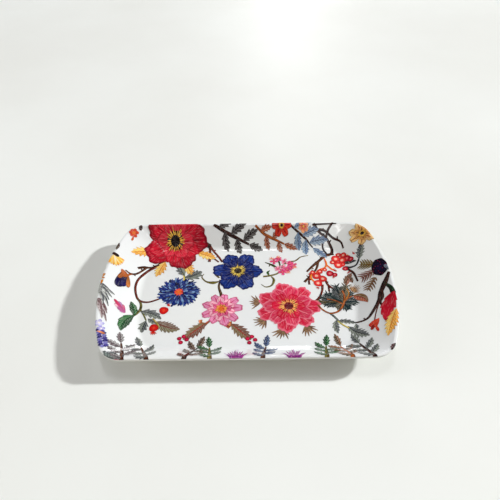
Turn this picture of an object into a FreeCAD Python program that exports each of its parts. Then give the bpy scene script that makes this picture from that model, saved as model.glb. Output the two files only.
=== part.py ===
"""Moulded serving tray: one melamine moulding, its printed decor foil and its clear glaze.

Frame: +X along the long side, +Y towards the back, +Z up.
Origin: on the resting surface, under the middle of the tray.
"""

import FreeCAD, Part
import math
import os

import Sketcher

OUTPUT_FOLDER = "parts"
RIGHT_ANGLE = math.pi / 2

# How a sketch names the points of an edge, its own axes and their origin.
START, END, CENTRE = 1, 2, 3
AXES, X_AXIS, ORIGIN = -1, -1, 1

# Driving dimensions in millimetres and degrees. An outline is a long rectangle with straight
# long sides, bowed short ends and rounded corners. An inset shrinks it evenly all round.
DIMENSIONS = {
    # outer edge of the rim
    "rim_length": 240.0,
    "rim_width": 145.0,
    "rim_corner_radius": 19.5,
    # floor, where the walls would meet it without their soft corner
    "floor_length": 180.0,
    "floor_width": 107.0,
    "floor_corner_radius": 14.0,
    # how far a bowed end turns from its middle to the corner, the same at every height
    "end_half_angle": 19.7,
    # heights above the resting surface
    "resting_level": 0.0,
    "underside_level": 0.8,
    "lip_level": 16.5,
    "rim_level": 18.5,
    # outside: insets from the floor outline, and soft edges
    "rim_inset": 0.0,
    "underside_inset": -1.8,
    "foot_outer_inset": 5.0,
    "foot_inner_inset": 8.0,
    "underside_corner_radius": 12.0,
    "lip_edge_radius": 0.7,
    "foot_edge_radius": 0.3,
    # inside of the moulding, which the printed foil lies on
    "moulded_mouth_inset": 1.2,
    "moulded_floor_inset": 0.0,
    "moulded_floor_level": 3.0,
    "moulded_corner_radius": 10.0,
    # inside of the printed foil, which the glaze lies on
    "printed_mouth_inset": 1.6,
    "printed_floor_inset": 0.07,
    "printed_floor_level": 3.2,
    "printed_corner_radius": 9.8,
    # inside of the glaze, which things are put on
    "glazed_mouth_inset": 2.0,
    "glazed_floor_inset": 0.14,
    "glazed_floor_level": 3.4,
    "glazed_corner_radius": 9.6,
}

doc = FreeCAD.newDocument("serving_tray")
sheet = doc.addObject("Spreadsheet::Sheet", "dims")


def fill_sheet():
    """Writes every driving dimension into its own cell and names the cell."""
    for row, (alias, value) in enumerate(DIMENSIONS.items(), start=1):
        sheet.set(f"A{row}", alias.replace("_", " "))
        sheet.set(f"B{row}", str(value))
        sheet.setAlias(f"B{row}", alias)
    doc.recompute()


def size(alias):
    """The present value of a dimension in the sheet."""
    return float(getattr(sheet, alias))


def evaluate(formula):
    """The present value of a formula on the sheet's dimensions."""
    return float(sheet.evalExpression(formula))


def new_body(name):
    """An empty body with a label and a placement of its own."""
    body = doc.addObject("PartDesign::Body", name)
    body.Label = name
    body.Placement = FreeCAD.Placement()
    return body


def new_sketch(body, name, level):
    """A level sketch on the body's own XY plane, raised to a height from the sheet."""
    plane = next(f for f in body.Origin.OriginFeatures if f.Role == "XY_Plane")
    sketch = body.newObject("Sketcher::SketchObject", name)
    sketch.AttachmentSupport = [(plane, "")]
    sketch.MapMode = "FlatFace"
    sketch.setExpression("AttachmentOffset.Base.z", f"dims.{level}")
    return sketch


def arc(centre_x, centre_y, radius, start, end):
    """A counter-clockwise arc in the plane of a sketch."""
    centre = FreeCAD.Vector(centre_x, centre_y, 0)
    circle = Part.Circle(centre, FreeCAD.Vector(0, 0, 1), radius)
    return Part.ArcOfCircle(circle, start, end)


def side_line(start_x, end_x, y):
    """One straight long side."""
    return Part.LineSegment(FreeCAD.Vector(start_x, y, 0), FreeCAD.Vector(end_x, y, 0))


def outline_formulas(outline, inset):
    """How an outline's half length, half width and two radii follow from the sheet."""
    half_length = f"(dims.{outline}_length / 2 - dims.{inset})"
    half_width = f"(dims.{outline}_width / 2 - dims.{inset})"
    corner_radius = f"(dims.{outline}_corner_radius - dims.{inset})"
    end_radius = (
        f"({corner_radius} + ({half_width} - {corner_radius}) / sin(dims.end_half_angle))"
    )
    return half_length, half_width, corner_radius, end_radius


def outline_edges(half_length, half_width, corner_radius, end_radius):
    """The eight edges of an outline, counter-clockwise from the right end."""
    turn = math.radians(size("end_half_angle"))
    end_x = half_length - end_radius
    corner_x = end_x + (end_radius - corner_radius) * math.cos(turn)
    corner_y = half_width - corner_radius
    return [
        arc(end_x, 0, end_radius, -turn, turn),
        arc(corner_x, corner_y, corner_radius, turn, RIGHT_ANGLE),
        side_line(corner_x, -corner_x, half_width),
        arc(-corner_x, corner_y, corner_radius, RIGHT_ANGLE, math.pi - turn),
        arc(-end_x, 0, end_radius, math.pi - turn, math.pi + turn),
        arc(-corner_x, -corner_y, corner_radius, math.pi + turn, 3 * RIGHT_ANGLE),
        side_line(-corner_x, corner_x, -half_width),
        arc(corner_x, -corner_y, corner_radius, 3 * RIGHT_ANGLE, 2 * math.pi - turn),
    ]


def add_outline(sketch, outline, inset):
    """Draws one closed outline and ties its shape to the sheet."""
    formulas = outline_formulas(outline, inset)
    half_length, half_width, corner_radius, end_radius = formulas
    edges = sketch.addGeometry(outline_edges(*[evaluate(formula) for formula in formulas]))
    right_end, top_right, top, top_left, left_end, bottom_left, bottom, bottom_right = edges

    for edge, following in zip(edges, edges[1:] + edges[:1]):
        sketch.addConstraint(Sketcher.Constraint("Tangent", edge, END, following, START))
    for line in (top, bottom):
        sketch.addConstraint(Sketcher.Constraint("Horizontal", line))
    sketch.addConstraint(Sketcher.Constraint("Equal", right_end, left_end))
    for corner in (top_left, bottom_left, bottom_right):
        sketch.addConstraint(Sketcher.Constraint("Equal", top_right, corner))
    sketch.addConstraint(
        Sketcher.Constraint("Symmetric", right_end, CENTRE, left_end, CENTRE, AXES, ORIGIN)
    )
    sketch.addConstraint(Sketcher.Constraint("PointOnObject", right_end, CENTRE, X_AXIS))

    def drive(formula, kind, *places):
        constraint = Sketcher.Constraint(kind, *places, evaluate(formula))
        index = sketch.addConstraint(constraint)
        sketch.setExpression(f"Constraints[{index}]", formula)

    drive(end_radius, "Radius", right_end)
    drive(corner_radius, "Radius", top_right)
    drive(f"{end_radius} - {half_length}", "DistanceX", right_end, CENTRE, AXES, ORIGIN)
    drive(half_width, "DistanceY", AXES, ORIGIN, top, START)
    drive(half_width, "DistanceY", bottom, START, AXES, ORIGIN)


def outline_sketch(body, name, level, outline, *insets):
    """A level sketch that holds an outline once for each inset."""
    sketch = new_sketch(body, name, level)
    for inset in insets:
        add_outline(sketch, outline, inset)
    doc.recompute()
    return sketch


def ruled_loft(body, name, upper, lower):
    """Straight walls between two outlines, from the upper one down so that faces point outwards."""
    loft = body.newObject("PartDesign::AdditiveLoft", name)
    loft.Profile = upper
    loft.Sections = [lower]
    loft.Ruled = True
    doc.recompute()
    return loft


def level_edges(shape, level, outline_tolerance=0.01):
    """Names of the edges that lie wholly at one height."""
    return [
        f"Edge{number}"
        for number, edge in enumerate(shape.Edges, start=1)
        if abs(edge.BoundBox.ZMin - level) < outline_tolerance
        and abs(edge.BoundBox.ZMax - level) < outline_tolerance
    ]


def round_edges(body, name, base, edges, radius):
    """Rounds the named edges of a feature."""
    fillet = body.newObject("PartDesign::Fillet", name)
    fillet.Base = (base, edges)
    fillet.setExpression("Radius", f"dims.{radius}")
    doc.recompute()
    return fillet


def make_hollow(surface):
    """The space inside one surface: ruled walls on a flat floor with a soft corner between them."""
    body = new_body(f"{surface}_hollow")
    floor = outline_sketch(
        body, f"{surface}_floor", f"{surface}_floor_level", "floor", f"{surface}_floor_inset"
    )
    mouth = outline_sketch(
        body, f"{surface}_mouth", "rim_level", "rim", f"{surface}_mouth_inset"
    )
    space = ruled_loft(body, f"{surface}_space", mouth, floor)
    corner = level_edges(space.Shape, size(f"{surface}_floor_level"))
    round_edges(body, f"{surface}_corner", space, corner, f"{surface}_corner_radius")
    return body


def make_moulding():
    """The tray's solid outer form: walls, an upright lip band and a low foot ring below."""
    body = new_body("moulding")
    underside = outline_sketch(
        body, "underside", "underside_level", "floor", "underside_inset"
    )
    lip = outline_sketch(body, "lip_underside", "lip_level", "rim", "rim_inset")
    walls = ruled_loft(body, "walls", lip, underside)
    corner = level_edges(walls.Shape, size("underside_level"))
    round_edges(body, "underside_corner", walls, corner, "underside_corner_radius")

    band = body.newObject("PartDesign::Pad", "lip_band")
    band.Profile = outline_sketch(body, "lip_outline", "lip_level", "rim", "rim_inset")
    band.setExpression("Length", "dims.rim_level - dims.lip_level")
    doc.recompute()
    lip_edge = level_edges(band.Shape, size("rim_level"))
    rounded = round_edges(body, "lip_edge", band, lip_edge, "lip_edge_radius")

    foot = body.newObject("PartDesign::Pad", "foot_ring")
    foot.Profile = outline_sketch(
        body, "foot_outline", "resting_level", "floor", "foot_outer_inset", "foot_inner_inset"
    )
    foot.setExpression("Length", "dims.underside_level - dims.resting_level")
    doc.recompute()
    if foot.Shape.Volume <= rounded.Shape.Volume:
        raise RuntimeError("the foot ring added no material")
    foot_edge = level_edges(foot.Shape, size("resting_level"))
    round_edges(body, "foot_edge", foot, foot_edge, "foot_edge_radius")
    return body


def cut(name, base, tool):
    """What is left of one object after another is taken from it."""
    result = doc.addObject("Part::Cut", name)
    result.Label = name
    result.Base = base
    result.Tool = tool
    result.Placement = FreeCAD.Placement()
    doc.recompute()
    return result


def check_document():
    """Stops on any object that failed to recompute."""
    for item in doc.Objects:
        if "Invalid" in item.State or "Error" in item.State:
            raise RuntimeError(f"{item.Name} failed: {item.State}")


def write_parts(parts):
    """Checks each part's shape and writes it under its own label."""
    os.makedirs(OUTPUT_FOLDER, exist_ok=True)
    for part in parts:
        if part.Shape.isNull() or not part.Shape.isValid():
            raise RuntimeError(f"{part.Label} has no valid shape")
    for part in parts:
        part.Shape.exportStep(os.path.join(OUTPUT_FOLDER, f"{part.Label}.step"))
        box = part.Shape.BoundBox
        print(
            f"{part.Label}: {len(part.Shape.Solids)} solid, {part.Shape.Volume:.0f} mm3, "
            f"{box.XLength:.1f} x {box.YLength:.1f} x {box.ZLength:.2f} mm"
        )


fill_sheet()
moulding = make_moulding()
moulded = make_hollow("moulded")
printed = make_hollow("printed")
glazed = make_hollow("glazed")
tray_body = cut("tray_body", moulding, moulded)
decor_foil = cut("decor_foil", moulded, printed)
clear_glaze = cut("clear_glaze", printed, glazed)
check_document()
write_parts([tray_body, decor_foil, clear_glaze])
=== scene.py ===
"""Looks of the melamine serving tray: glossy white moulding with a generic botanical print inside.

The print is drawn as thin patches of ink in plan, in millimetres from the middle of the tray
(x to the right, y to the back), and each patch is laid on the tray's inside surface.
"""

import math
import random

import bpy
import numpy as np
from mathutils import Matrix, Vector
from mathutils.bvhtree import BVHTree


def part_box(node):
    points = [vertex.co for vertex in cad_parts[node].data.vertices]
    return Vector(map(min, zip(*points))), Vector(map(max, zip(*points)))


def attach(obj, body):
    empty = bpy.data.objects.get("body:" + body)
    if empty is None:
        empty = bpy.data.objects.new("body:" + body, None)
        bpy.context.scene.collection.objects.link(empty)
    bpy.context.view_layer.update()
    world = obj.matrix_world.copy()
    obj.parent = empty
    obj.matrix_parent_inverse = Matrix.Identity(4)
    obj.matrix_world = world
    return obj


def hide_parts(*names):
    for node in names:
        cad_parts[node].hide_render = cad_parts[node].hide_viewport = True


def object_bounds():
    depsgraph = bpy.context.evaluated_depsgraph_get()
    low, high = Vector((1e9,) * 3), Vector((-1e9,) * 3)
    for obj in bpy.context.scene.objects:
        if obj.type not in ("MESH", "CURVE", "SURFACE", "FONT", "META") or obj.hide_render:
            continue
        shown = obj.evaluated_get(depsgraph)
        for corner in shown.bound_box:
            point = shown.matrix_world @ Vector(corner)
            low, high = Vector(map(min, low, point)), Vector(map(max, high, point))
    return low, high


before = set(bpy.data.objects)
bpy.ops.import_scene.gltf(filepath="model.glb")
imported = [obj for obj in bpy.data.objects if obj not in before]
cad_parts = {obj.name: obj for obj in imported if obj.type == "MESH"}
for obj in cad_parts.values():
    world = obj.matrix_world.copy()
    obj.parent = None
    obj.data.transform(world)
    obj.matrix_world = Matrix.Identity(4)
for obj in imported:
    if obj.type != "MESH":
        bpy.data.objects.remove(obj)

cad_low, cad_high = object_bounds()
random.seed(7)

MM = 0.001

# ---------------------------------------------------------------- the inside surface

RIM_HALF_LENGTH = (cad_high.x - cad_low.x) / 2
RIM_HALF_WIDTH = (cad_high.y - cad_low.y) / 2
RIM_HEIGHT = cad_high.z
RIM_CORNER = 19.5 * MM
MOUTH_INSET = 2.0 * MM
FLOOR_HALF_LENGTH = 89.86 * MM
FLOOR_HALF_WIDTH = 53.36 * MM
FLOOR_CORNER = 13.86 * MM
FLOOR_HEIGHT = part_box("clear_glaze")[0].z + 0.2 * MM
SOFT_CORNER = 9.6 * MM
END_TURN = math.radians(19.7)
# the lip's section: millimetres out from the mouth, up from the rim, and the share of the wall's tilt
LIP_ROLL = (
    (-0.5, -0.26, 1.0), (-0.2, -0.1, 0.7), (0.05, -0.02, 0.35), (0.35, 0.02, 0.0), (1.3, 0.02, 0.0),
)
LIP_RADIUS = 0.72 * MM
LIP_TILTS = (18, 36, 54, 70, 84)
SPINE_SHARE = 0.55


def outline(half_length, half_width, corner, end_steps=44, corner_steps=20, side_steps=60):
    """Points and outward directions round an outline with bowed ends and rounded corners."""
    quarter = math.pi / 2
    end_radius = corner + (half_width - corner) / math.sin(END_TURN)
    end_x = half_length - end_radius
    corner_x = end_x + (end_radius - corner) * math.cos(END_TURN)
    corner_y = half_width - corner
    points, directions = [], []

    def arc(centre_x, centre_y, radius, start, end, steps):
        for angle in np.linspace(start, end, steps, endpoint=False):
            direction = (math.cos(angle), math.sin(angle))
            directions.append(direction)
            points.append((centre_x + radius * direction[0], centre_y + radius * direction[1]))

    def side(start_x, end_x, y):
        for x in np.linspace(start_x, end_x, side_steps, endpoint=False):
            directions.append((0.0, math.copysign(1.0, y)))
            points.append((x, y))

    arc(end_x, 0, end_radius, -END_TURN, END_TURN, end_steps)
    arc(corner_x, corner_y, corner, END_TURN, quarter, corner_steps)
    side(corner_x, -corner_x, half_width)
    arc(-corner_x, corner_y, corner, quarter, math.pi - END_TURN, corner_steps)
    arc(-end_x, 0, end_radius, math.pi - END_TURN, math.pi + END_TURN, end_steps)
    arc(-corner_x, -corner_y, corner, math.pi + END_TURN, 3 * quarter, corner_steps)
    side(-corner_x, corner_x, -half_width)
    arc(corner_x, -corner_y, corner, 3 * quarter, 4 * quarter - END_TURN, corner_steps)
    return np.array(points), np.array(directions)


FLOOR_EDGE, OUTWARD = outline(FLOOR_HALF_LENGTH, FLOOR_HALF_WIDTH, FLOOR_CORNER)
MOUTH_EDGE, _ = outline(
    RIM_HALF_LENGTH - MOUTH_INSET, RIM_HALF_WIDTH - MOUTH_INSET, RIM_CORNER - MOUTH_INSET
)


def inside_rings(floor_rings=8, corner_rings=12, wall_rings=10):
    """Rings of the inside surface, from the middle of the floor up and over the lip."""
    across = ((MOUTH_EDGE - FLOOR_EDGE) * OUTWARD).sum(1)
    slope = np.arctan2(RIM_HEIGHT - FLOOR_HEIGHT, across)
    start = -SOFT_CORNER * np.tan(slope / 2)
    rings, normals = [], []

    def add(distance, height, tilt):
        plan = FLOOR_EDGE + (MOUTH_EDGE - FLOOR_EDGE) * (distance / across)[:, None]
        rings.append(np.column_stack([plan, height]))
        normals.append(np.column_stack([-OUTWARD * np.sin(tilt)[:, None], np.cos(tilt)]))

    level = np.full(len(FLOOR_EDGE), FLOOR_HEIGHT)
    upright = np.zeros(len(FLOOR_EDGE))
    add(start, level, upright)
    edge = rings.pop()
    normals.pop()
    spine = edge * (SPINE_SHARE, 0, 1)
    for share in np.linspace(0, 1, floor_rings, endpoint=False):
        rings.append(spine + (edge - spine) * share)
        normals.append(np.column_stack([np.zeros((len(edge), 2)), np.ones(len(edge))]))
    for share in np.linspace(0, 1, corner_rings):
        tilt = slope * share
        add(start + SOFT_CORNER * np.sin(tilt), FLOOR_HEIGHT + SOFT_CORNER * (1 - np.cos(tilt)), tilt)
    wall_start = -start * np.cos(slope)
    wall_end = across + LIP_ROLL[0][0] * MM
    for share in np.linspace(0, 1, wall_rings)[1:]:
        distance = wall_start + (wall_end - wall_start) * share
        add(distance, FLOOR_HEIGHT + distance * np.tan(slope), slope)
    top = np.full(len(FLOOR_EDGE), RIM_HEIGHT)
    for out, up, share in LIP_ROLL[1:]:
        add(across + out * MM, top + up * MM, slope * share)
    out, up, _ = LIP_ROLL[-1]
    for tilt in np.radians(LIP_TILTS):
        add(
            across + out * MM + LIP_RADIUS * math.sin(tilt),
            top + up * MM - LIP_RADIUS * (1 - math.cos(tilt)),
            upright - tilt,
        )
    return np.array(rings), np.array(normals)


def ring_faces(rows, columns):
    """Quads between closed rings of points."""
    faces = []
    for row in range(rows - 1):
        for column in range(columns):
            here = row * columns + column
            beside = row * columns + (column + 1) % columns
            faces.append((here, here + columns, beside + columns, beside))
    return faces


def new_piece(name, points, faces, normals, material):
    """A smooth mesh object with its own normals and material."""
    mesh = bpy.data.meshes.new(name)
    mesh.from_pydata(points.tolist(), [], faces)
    mesh.update()
    mesh.shade_smooth()
    mesh.normals_split_custom_set_from_vertices(normals.tolist())
    piece = bpy.data.objects.new(name, mesh)
    bpy.context.scene.collection.objects.link(piece)
    mesh.materials.append(material)
    return piece


class Inside:
    """The tray's inside surface: gives height and direction at a place in plan."""

    def __init__(self):
        rings, normals = inside_rings()
        self.points = rings.reshape(-1, 3)
        self.normals = normals.reshape(-1, 3)
        self.faces = ring_faces(*rings.shape[:2])
        self.tree = BVHTree.FromPolygons(self.points.tolist(), self.faces)
        self.corners = np.array(self.faces)

    def at(self, x, y):
        """The point and the smooth normal of the surface under a place, in metres."""
        hit, _, face, _ = self.tree.ray_cast(Vector((x, y, 1.0)), Vector((0, 0, -1)))
        if hit is None:
            hit, _, face, _ = self.tree.find_nearest(Vector((x, y, RIM_HEIGHT)))
        corners = self.corners[face]
        gaps = np.linalg.norm(self.points[corners][:, :2] - (hit.x, hit.y), axis=1)
        weights = 1 / (gaps + 1e-6) ** 2
        normal = (self.normals[corners] * weights[:, None]).sum(0)
        return np.array(hit), normal / np.linalg.norm(normal)


inside = Inside()

# ---------------------------------------------------------------- inks


def linear(colour):
    """A colour on the 0 to 255 scale as linear light."""
    return tuple((part / 255) ** 2.2 for part in colour)


CRIMSON = (178, 16, 40)
SCARLET = (206, 34, 50)
WINE = (132, 8, 28)
MAROON = (84, 14, 28)
CORAL = (224, 66, 52)
ORANGE = (222, 108, 34)
AMBER = (230, 156, 40)
YELLOW = (244, 208, 104)
ROSE = (208, 34, 82)
PINK = (226, 92, 142)
BLUSH = (246, 184, 200)
CREAM = (250, 232, 208)
PEACH = (238, 152, 104)
NAVY = (16, 22, 66)
LILAC = (186, 132, 184)
VIOLET = (92, 72, 158)
OLIVE = (92, 80, 42)
MOSS = (130, 124, 62)
GREEN = (40, 104, 52)
DEEP_GREEN = (12, 58, 30)
SAGE = (124, 132, 122)
SLATE = (74, 80, 86)
RUST = (160, 84, 40)
UMBER = (108, 66, 42)
BARK = (70, 38, 30)
SOOT = (30, 20, 22)
WHITE = (248, 246, 244)

# thickness of one layer of ink and the width of a patch's cells, in millimetres
STEP = 0.03
CELL = 1.0
GOLDEN_ANGLE = 137.5
# a fan's edge is this share of a half wave, and its small ruffles are this much finer
FAN_SHARE = 0.93
FINE_RUFFLE = 7.3
# how much lighter or darker one patch may be than its ink
JITTER = 0.16


def smooth_line(points):
    """Evenly dense points on a smooth curve through the given ones."""
    knots = np.array(points, float)
    knots = np.vstack([2 * knots[0] - knots[1], knots, 2 * knots[-1] - knots[-2]])
    line = []
    for before, start, end, after in zip(knots, knots[1:], knots[2:], knots[3:]):
        steps = max(2, math.ceil(np.linalg.norm(end - start) / CELL))
        for t in np.linspace(0, 1, steps, endpoint=False):
            square, cube = 2 * before - 5 * start + 4 * end - after, 3 * start - before - 3 * end + after
            line.append(0.5 * (2 * start + (end - before) * t + square * t**2 + cube * t**3))
    line.append(knots[-2])
    return np.array(line)


def forwards(line):
    """Unit directions along a line of points."""
    along = np.gradient(line, axis=0)
    return along / (np.linalg.norm(along, axis=1)[:, None] + 1e-9)


def sideways(line):
    """Unit directions to the left of a line of points."""
    along = forwards(line)
    return np.column_stack([-along[:, 1], along[:, 0]])


class Ink:
    """Printed shapes that share one material, gathered into one piece.

    Every point carries its place in the shape (0 to 1 along, -1 to 1 across, a random seed) and
    its grain (the same two directions in millimetres), for veins, streaks and outlines.
    """

    def __init__(self, name):
        self.name = name
        self.plan, self.lift, self.faces = [], [], []
        self.values = {"inner": [], "outer": [], "line": [], "place": [], "grain": []}
        self.count = 0

    def patch(self, grid, s, v, size, colours, layer):
        """A grid of points in plan, s along and v across, with its own variation of its colours."""
        rows, columns = grid.shape[:2]
        total = rows * columns
        along, across = np.meshgrid(s, v, indexing="ij")
        seed = random.random()
        glow = 1 + random.uniform(-JITTER, JITTER)
        self.plan.append(grid.reshape(-1, 2))
        self.lift.append(np.full(total, (layer + 1) * STEP))
        for name, colour in zip(("inner", "outer", "line"), colours):
            self.values[name].append(np.tile(np.array(linear(colour)) * glow, (total, 1)))
        length, breadth = size
        seeds = np.full(along.shape, seed)
        self.values["place"].append(np.stack([along, across, seeds], axis=-1).reshape(-1, 3))
        grain = np.stack([along * length, across * breadth, seeds * 90], axis=-1)
        self.values["grain"].append(grain.reshape(-1, 3))
        for row in range(rows - 1):
            for column in range(columns - 1):
                corner = self.count + row * columns + column
                self.faces.append((corner, corner + 1, corner + columns + 1, corner + columns))
        self.count += total

    def blade(self, base, tip, width, colours, layer, profile, bend=0.0, teeth=0, bite=0.3, sweep=0.0):
        """A leaf, petal or needle from its base to its tip, with teeth that lean to the tip."""
        base, tip = np.array(base, float), np.array(tip, float)
        reach = tip - base
        length = np.linalg.norm(reach)
        side = np.array([-reach[1], reach[0]])
        control = (base + tip) / 2 + side * bend
        rows = max(6, math.ceil(length / CELL), teeth * 6) + 1
        columns = max(5, 2 * math.ceil(width / CELL / 2) + 1)
        s = np.linspace(0, 1, rows)
        start, middle, end = ((1 - s) ** 2)[:, None], (2 * s * (1 - s))[:, None], (s**2)[:, None]
        line = base * start + control * middle + tip * end
        half = width / 2 * profile(s)
        v = np.linspace(-1, 1, columns)
        out = half[:, None] * v[None, :]
        if teeth:
            saw = 1 - (s * teeth * 0.999) % 1.0
            out = out * (1 - bite * saw[:, None] * np.abs(v)[None, :] ** 2)
        grid = (
            line[:, None, :]
            + sideways(line)[:, None, :] * out[:, :, None]
            + forwards(line)[:, None, :] * (np.abs(out) * sweep)[:, :, None]
        )
        self.patch(grid, s, v, (length, width / 2), colours, layer)

    def fan(self, centre, angle, opening, length, colours, layer, ruffle, depth, roundness=0.5):
        """A wide petal that opens from a centre, with a rounded and ruffled edge."""
        breadth = length * math.radians(opening)
        columns = max(9, math.ceil(breadth / CELL)) + 1
        rows = max(5, math.ceil(length / CELL)) + 1
        v = np.linspace(-1, 1, columns)
        s = np.linspace(0, 1, rows)
        shift = random.uniform(0, 6)
        wave = np.sin(v * ruffle * math.pi + shift) + 0.6 * np.sin(v * ruffle * FINE_RUFFLE + shift * 2)
        edge = length * np.cos(v * math.pi / 2 * FAN_SHARE) ** roundness * (1 + depth * wave)
        heading = math.radians(angle) + v * math.radians(opening) / 2
        direction = np.column_stack([np.cos(heading), np.sin(heading)])
        grid = np.array(centre, float) + (s[:, None] * edge[None, :])[:, :, None] * direction
        self.patch(grid, s, v, (length, breadth / 2), colours, layer)

    def disc(self, centre, radius, colours, layer, ruffle=0, depth=0.06, squash=1.0, turn=0.0):
        """A round spot, berry or flower centre."""
        columns = max(13, math.ceil(radius * 2 * math.pi / CELL)) + 1
        rows = max(3, math.ceil(radius / CELL)) + 1
        angle = np.linspace(0, 2 * math.pi, columns)
        s = np.linspace(0, 1, rows)
        edge = radius * (1 + depth * np.sin(angle * ruffle)) if ruffle else np.full(columns, radius)
        spot = np.column_stack([edge * np.cos(angle), edge * squash * np.sin(angle)])
        cosine, sine = math.cos(math.radians(turn)), math.sin(math.radians(turn))
        spot = spot @ np.array([[cosine, sine], [-sine, cosine]])
        grid = np.array(centre, float) + s[:, None, None] * spot[None, :, :]
        self.patch(grid, s, np.linspace(-1, 1, columns), (radius, radius * 3), colours, layer)

    def ribbon(self, points, widths, colours, layer):
        """A stem or tendril through the given points, with widths spaced evenly along it."""
        line = smooth_line(points)
        s = np.linspace(0, 1, len(line))
        half = np.interp(s, np.linspace(0, 1, len(widths)), widths) / 2
        columns = max(3, 2 * math.ceil(max(widths) / CELL / 2) + 1)
        v = np.linspace(-1, 1, columns)
        grid = line[:, None, :] + sideways(line)[:, None, :] * (half[:, None] * v)[:, :, None]
        length = np.linalg.norm(np.diff(line, axis=0), axis=1).sum()
        self.patch(grid, s, v, (length, max(widths) / 2), colours, layer)

    def lay(self, material):
        """Lays every patch on the tray's inside and returns the piece."""
        plan = clamp_to_mouth(np.concatenate(self.plan) * MM)
        lift = np.concatenate(self.lift) * MM
        points, normals = [], []
        for (x, y), height in zip(plan, lift):
            point, normal = inside.at(x, y)
            near_lip = min(max((point[2] - RIM_HEIGHT) / LIP_DEPTH + 1, 0), 1)
            points.append(point + normal * (height + LIP_LIFT * near_lip))
            normals.append(normal)
        points, normals = np.array(points), np.array(normals)
        faces = np.array(self.faces)
        corners = points[faces]
        spans = np.cross(corners[:, 2] - corners[:, 0], corners[:, 3] - corners[:, 1])
        faces[spans[:, 2] < 0] = faces[spans[:, 2] < 0][:, ::-1]
        faces = faces[np.linalg.norm(spans, axis=1) > SMALLEST_FACE]
        used, faces = np.unique(faces, return_inverse=True)
        faces = faces.reshape(-1, 4).tolist()
        piece = new_piece(self.name, points[used], faces, normals[used], material)
        for name, rows in self.values.items():
            values = np.concatenate(rows)[used]
            attribute = piece.data.attributes.new(name, "FLOAT_VECTOR", "POINT")
            attribute.data.foreach_set("vector", values.astype(np.float32).ravel())
        return piece


SMALLEST_FACE = 1e-9
PRINT_INSET = 0.12 * MM
LIP_DEPTH = 1.6 * MM
LIP_LIFT = 0.16 * MM
PRINT_EDGE, _ = outline(
    RIM_HALF_LENGTH - PRINT_INSET, RIM_HALF_WIDTH - PRINT_INSET, RIM_CORNER - PRINT_INSET
)


def clamp_to_mouth(plan):
    """Points beyond the print's edge are brought back to the nearest place on it."""
    reach = np.roll(PRINT_EDGE, -1, axis=0) - PRINT_EDGE
    result = plan.copy()
    for number, point in enumerate(plan):
        offset = point - PRINT_EDGE
        if (reach[:, 0] * offset[:, 1] - reach[:, 1] * offset[:, 0]).min() >= 0:
            continue
        share = np.clip((offset * reach).sum(1) / (reach**2).sum(1), 0, 1)
        nearest = PRINT_EDGE + reach * share[:, None]
        result[number] = nearest[np.argmin(((nearest - point) ** 2).sum(1))]
    return result


def leaf_shape(s):
    """Half width along a leaf, as a share of its widest."""
    return np.sin(math.pi * s**0.8) ** 0.85


def petal_shape(s):
    return s**0.55 * np.sqrt(np.clip(1 - s**4, 0, 1))


def needle_shape(s):
    return np.clip(1 - s, 0, 1) ** 0.6 * (0.4 + 0.6 * np.clip(s * 5, 0, 1))


stems = Ink("print_stems")
leaves = Ink("print_leaves")
petals = Ink("print_petals")
needles = Ink("print_needles")
fruits = Ink("print_fruits")


def polar(centre, angle, radius, squash=1.0):
    """A place at a direction and distance from a centre."""
    turn = math.radians(angle)
    return (centre[0] + radius * math.cos(turn), centre[1] + radius * math.sin(turn) * squash)


def leaf(base, tip, width, colours, layer=2, bend=0.0, teeth=6, bite=0.5, sweep=0.35):
    leaves.blade(base, tip, width, colours, layer, leaf_shape, bend, teeth, bite, sweep)


def petal(base, tip, width, colours, layer=4, bend=0.0):
    petals.blade(base, tip, width, colours, layer, petal_shape, bend)


def needle(base, tip, width, colours, layer=4, bend=0.0):
    needles.blade(base, tip, width, colours, layer, needle_shape, bend)


def stem(points, widths, colours=(UMBER, BARK, SOOT), layer=1, spurs=0):
    """A stem, with short broken spurs along a woody one."""
    stems.ribbon(points, widths, colours, layer)
    line = smooth_line(points)
    flank = sideways(line)
    for number in range(spurs):
        place = int((number + 0.6) / (spurs + 0.4) * (len(line) - 1))
        way = flank[place] * random.choice((-1, 1)) * random.uniform(1.6, 2.6)
        way = way + (random.uniform(-1, 1), random.uniform(-1, 1))
        spur = (line[place], line[place] + way * 0.6, line[place] + way)
        stems.ribbon(spur, (1.6, 1.1, 0.8), colours, layer)


def berry(centre, radius, colours, layer=5):
    fruits.disc(centre, radius, colours, layer, ruffle=3, depth=0.05, turn=random.uniform(0, 360))


def feather(base, tip, width, colours, layer, thick):
    """A leaf cut into pairs of needles along its rib."""
    pairs, lean = 5, 0.9
    base, tip = np.array(base, float), np.array(tip, float)
    reach = tip - base
    forward = reach / np.linalg.norm(reach)
    side = np.array([-forward[1], forward[0]])
    for number in range(pairs):
        share = 0.02 + 0.88 * number / (pairs - 1)
        root = base + reach * share
        fullness = 0.5 + 0.55 * math.sin(math.pi * (0.15 + 0.8 * share))
        size = width / 2 * fullness * random.uniform(0.85, 1.1)
        for sign in (-1, 1):
            needle(root, root + side * sign * size + forward * size * lean, thick, colours,
                   layer + random.uniform(0, 0.8), bend=0.08 * sign)
    needle(base, tip + forward * width * 0.2, thick * 1.3, colours, layer + 1)


def star(centre, heading, opening, radius, colours, count=9, layer=2, thick=1.3):
    """A spray of needles from one place."""
    for number in range(count):
        angle = heading + opening * (number / (count - 1) - 0.5)
        reach = radius * random.uniform(0.75, 1.1)
        needle(centre, polar(centre, angle, reach), thick, colours, layer + number % 3 * 0.4, bend=0.05)


def floret(centre, radius, colours, eye, count=5, turn=0.0, layer=5):
    """A small open flower."""
    for number in range(count):
        angle = turn + number * 360 / count
        petal(centre, polar(centre, angle, radius), radius * 0.95, colours, layer + number * 0.2)
    petals.disc(centre, radius * 0.2, eye, layer + 2)


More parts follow.
